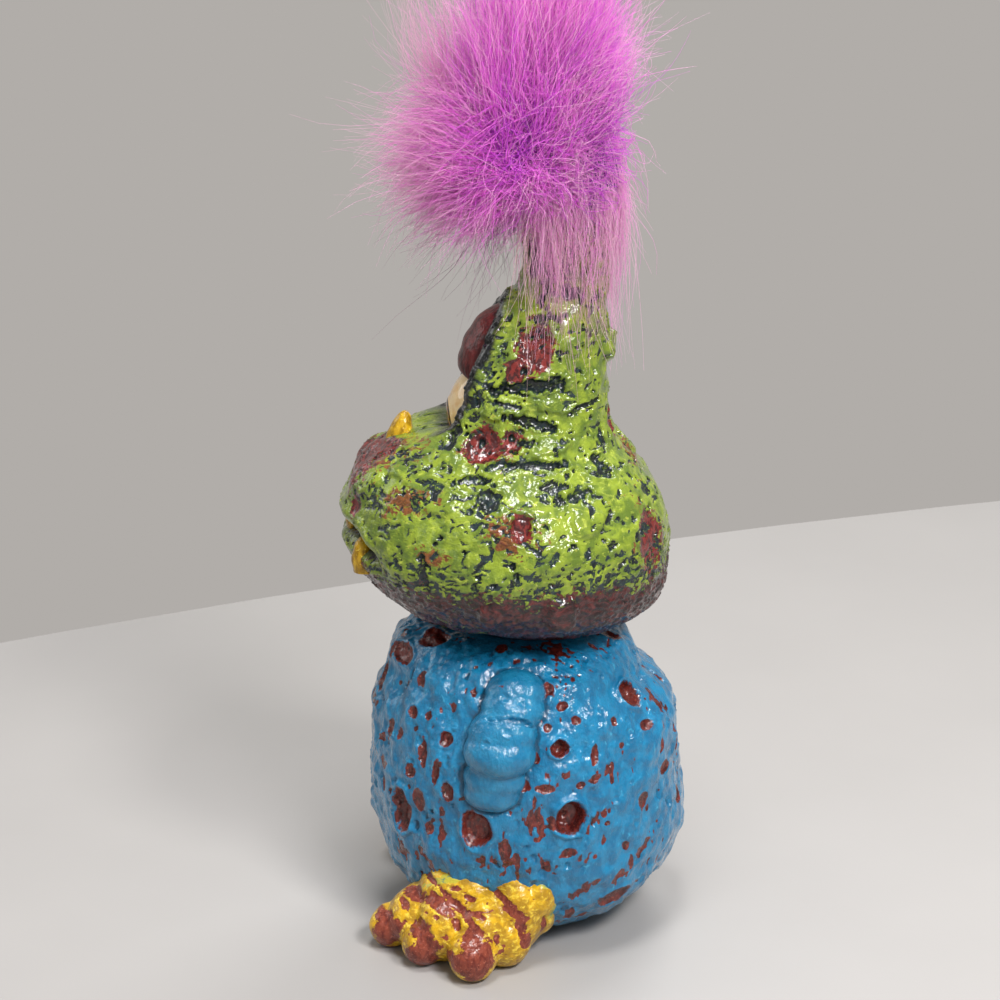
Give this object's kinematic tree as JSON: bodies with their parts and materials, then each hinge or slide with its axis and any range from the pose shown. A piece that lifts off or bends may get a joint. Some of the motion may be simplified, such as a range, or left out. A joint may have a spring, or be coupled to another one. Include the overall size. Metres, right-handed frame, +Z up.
{
  "type": "troll figurine",
  "caption": "Painted resin folk troll with a ball body, wide head with a tall crown, one big eye and a tuft of fur.",
  "frame": {"origin": "middle of the flat face that the body rests on", "axes": "+Z up through the crown, -Y towards the front (snout and eye), +X towards the figure's left side"},
  "size_m": [0.0854, 0.072, 0.225],
  "materials": {
    "blue_skin": "gloss painted resin, blue over maroon",
    "green_skin": "gloss painted resin, green over dark wash",
    "foot_paint": "gloss painted resin, yellow over maroon",
    "lid_paint": "gloss painted resin, maroon",
    "eye_paint": "gloss painted resin, cream",
    "tooth_paint": "gloss painted resin, yellow",
    "plug_resin": "bare cast resin",
    "dowel_wood": "plain beech",
    "pin_steel": "cut wire",
    "hide": "dyed hide backing",
    "fur_magenta": "long soft fur, magenta to pink"
  },
  "bodies": {
    "root": {"body_shell": "blue_skin", "arm_left": "blue_skin", "arm_right": "blue_skin", "base_plug": "plug_resin", "neck_dowel": "dowel_wood", "head_casting": "green_skin", "snout_horn": "tooth_paint", "upper_tooth_left": "tooth_paint", "upper_tooth_right": "tooth_paint", "lower_tooth_left": "tooth_paint", "lower_tooth_right": "tooth_paint", "eyeball": "eye_paint", "upper_eyelid": "lid_paint", "foot_left": "foot_paint", "foot_right": "foot_paint", "arm_pin_left": "pin_steel", "arm_pin_right": "pin_steel", "foot_pin_left": "pin_steel", "foot_pin_right": "pin_steel", "fur_hide": "hide", "fur_crest": "fur_magenta", "fur_front_lock": "fur_magenta", "fur_back_lock": "fur_magenta"}
  },
  "joints": []
}
